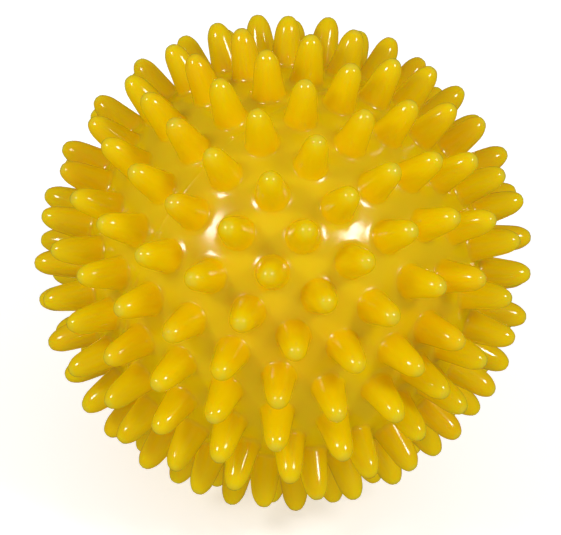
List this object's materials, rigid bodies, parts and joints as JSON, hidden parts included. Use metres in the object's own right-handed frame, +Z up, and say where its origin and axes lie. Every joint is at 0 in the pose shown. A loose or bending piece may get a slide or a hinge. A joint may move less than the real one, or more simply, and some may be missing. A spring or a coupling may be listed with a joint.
{
  "type": "spiky massage ball",
  "caption": "Hollow soft ball covered with blunt conical spikes for massage, with an air-valve seat in a moulded neck and a push-in plug that pulls out.",
  "frame": {"origin": "centre of the ball", "axes": "+X along the mould's axis, from the valve at the -X pole to the spike at the +X pole; +Z up, with the ball standing on four spike tips"},
  "size_m": [0.0989, 0.0992, 0.0986],
  "materials": {
    "ball_pvc": "glossy soft PVC, slightly translucent, yellow",
    "seat_pvc": "satin soft PVC, darker yellow",
    "plug_pvc": "satin soft PVC, natural white"
  },
  "bodies": {
    "ball": {"ball_shell": "ball_pvc", "valve_seat": "seat_pvc"},
    "plug": {"valve_plug": "plug_pvc"}
  },
  "joints": [
    {"name": "plug_pull", "type": "slide", "parent": "ball", "child": "plug", "axis": [-1, 0, 0], "range_m": [0, 0.022]}
  ]
}
